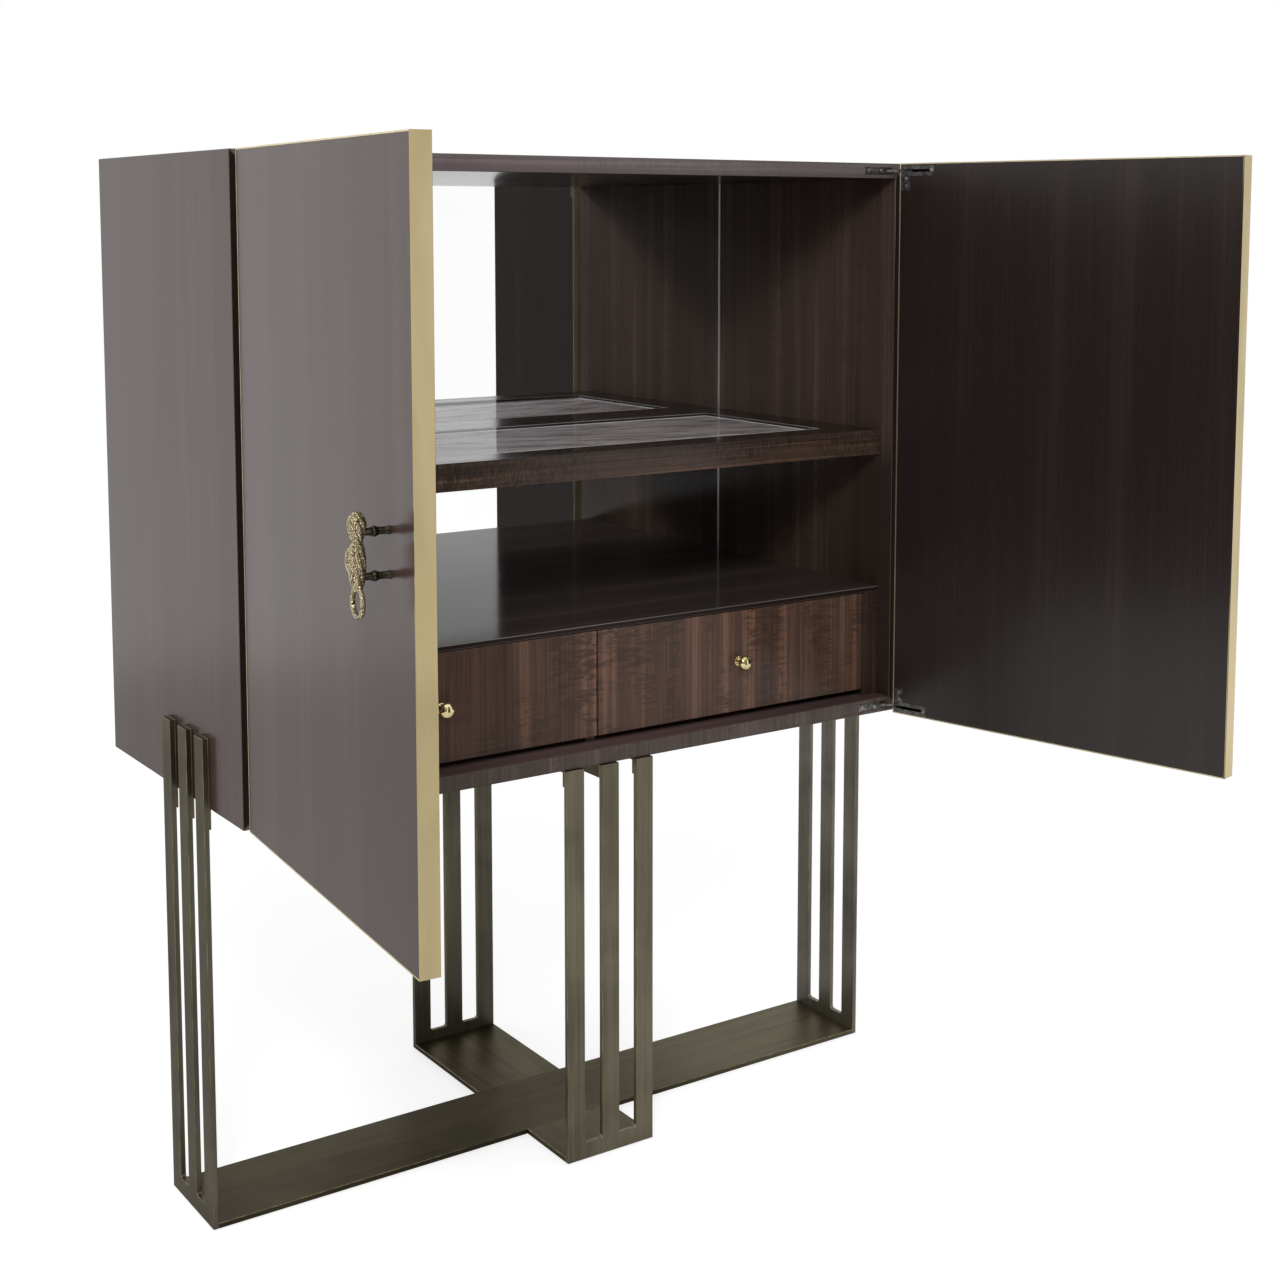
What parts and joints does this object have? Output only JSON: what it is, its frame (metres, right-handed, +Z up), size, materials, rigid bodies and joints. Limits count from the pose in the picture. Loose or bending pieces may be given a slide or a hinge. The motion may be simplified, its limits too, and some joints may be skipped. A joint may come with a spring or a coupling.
{
  "type": "cabinet on stand",
  "caption": "Veneered drinks cabinet on a forked metal stand: hinged doors with brass edges, a mirrored back, a glazed shelf and drawers on full-extension runners.",
  "frame": {"origin": "on the floor, under the middle of the crossing of the base bars", "axes": "+X to the right as seen from the front, +Y to the back, +Z up"},
  "size_m": [1.4602, 1.1305, 1.558],
  "materials": {
    "veneer": "dark gloss veneer with upright grain",
    "veneer_inner": "espresso gloss veneer",
    "veneer_figured": "figured brown veneer, ripple marked, gloss",
    "inlay": "brown-grey streaked panel, satin",
    "shelf_glass": "clear plate glass, polished edges",
    "mirror": "silvered mirror",
    "back_board": "dark stained board, satin",
    "drawer_box": "satin lacquered hardwood",
    "edge_brass": "polished pale brass",
    "knob_brass": "polished brass",
    "cast_brass": "antique gold, cast and hammered",
    "post_bronze": "dark bronze, turned",
    "stand_bronze": "dark bronze finish, brushed along its length",
    "hinge_steel": "satin grey metal",
    "runner_steel": "zinc plated",
    "pads": "black floor pads"
  },
  "bodies": {
    "case": {"base_long_bar": "stand_bronze", "base_front_bar": "stand_bronze", "base_back_bar": "stand_bronze", "leg_left": "stand_bronze", "leg_right": "stand_bronze", "leg_front": "stand_bronze", "leg_back": "stand_bronze", "leg_spacers": "stand_bronze", "leg_clips": "stand_bronze", "under_beam": "stand_bronze", "floor_pads": "pads", "case_top": "veneer", "case_bottom": "veneer", "case_left_side": "veneer", "case_right_side": "veneer", "case_back": "back_board", "back_mirror": "mirror", "shelf_board": "veneer_inner", "shelf_lipping": "veneer_figured", "shelf_end_blocks": "veneer_inner", "shelf_inlay": "inlay", "shelf_glass": "shelf_glass", "drawer_deck": "veneer_inner", "drawer_divider": "drawer_box", "left_packer": "veneer_figured", "right_packer": "veneer_figured", "hinge_plates": "hinge_steel", "hinge_arms": "hinge_steel", "runner_rails": "runner_steel"},
    "left_door_body": {"left_door": "veneer", "left_door_edge": "edge_brass", "left_door_trim": "edge_brass", "left_pull": "cast_brass", "left_pull_posts": "post_bronze", "left_hinge_leaves": "hinge_steel", "left_hinge_pins": "hinge_steel"},
    "left_slide_body": {"left_runner_slides": "runner_steel"},
    "left_drawer_body": {"left_drawer_front": "veneer_figured", "left_drawer_sides": "drawer_box", "left_drawer_back": "drawer_box", "left_drawer_bottom": "drawer_box", "left_knob": "knob_brass", "left_drawer_members": "runner_steel"},
    "right_door_body": {"right_door": "veneer", "right_door_edge": "edge_brass", "right_door_trim": "edge_brass", "right_pull": "cast_brass", "right_pull_posts": "post_bronze", "right_hinge_leaves": "hinge_steel", "right_hinge_pins": "hinge_steel"},
    "right_slide_body": {"right_runner_slides": "runner_steel"},
    "right_drawer_body": {"right_drawer_front": "veneer_figured", "right_drawer_sides": "drawer_box", "right_drawer_back": "drawer_box", "right_drawer_bottom": "drawer_box", "right_knob": "knob_brass", "right_drawer_members": "runner_steel"}
  },
  "joints": [
    {"name": "left_door_hinge", "type": "hinge", "parent": "case", "child": "left_door_body", "pos_m": [-0.59, -0.2195, 1.093], "axis": [0, 0, -1], "range_deg": [-95, 15]},
    {"name": "right_door_hinge", "type": "hinge", "parent": "case", "child": "right_door_body", "pos_m": [0.59, -0.2195, 1.093], "axis": [0, 0, 1], "range_deg": [-104, 6]},
    {"name": "left_runner", "type": "slide", "parent": "case", "child": "left_slide_body", "axis": [0, -1, 0], "range_m": [0, 0.17]},
    {"name": "left_drawer", "type": "slide", "parent": "left_slide_body", "child": "left_drawer_body", "axis": [0, -1, 0], "range_m": [0, 0.17]},
    {"name": "right_runner", "type": "slide", "parent": "case", "child": "right_slide_body", "axis": [0, -1, 0], "range_m": [0, 0.17]},
    {"name": "right_drawer", "type": "slide", "parent": "right_slide_body", "child": "right_drawer_body", "axis": [0, -1, 0], "range_m": [0, 0.17]}
  ]
}
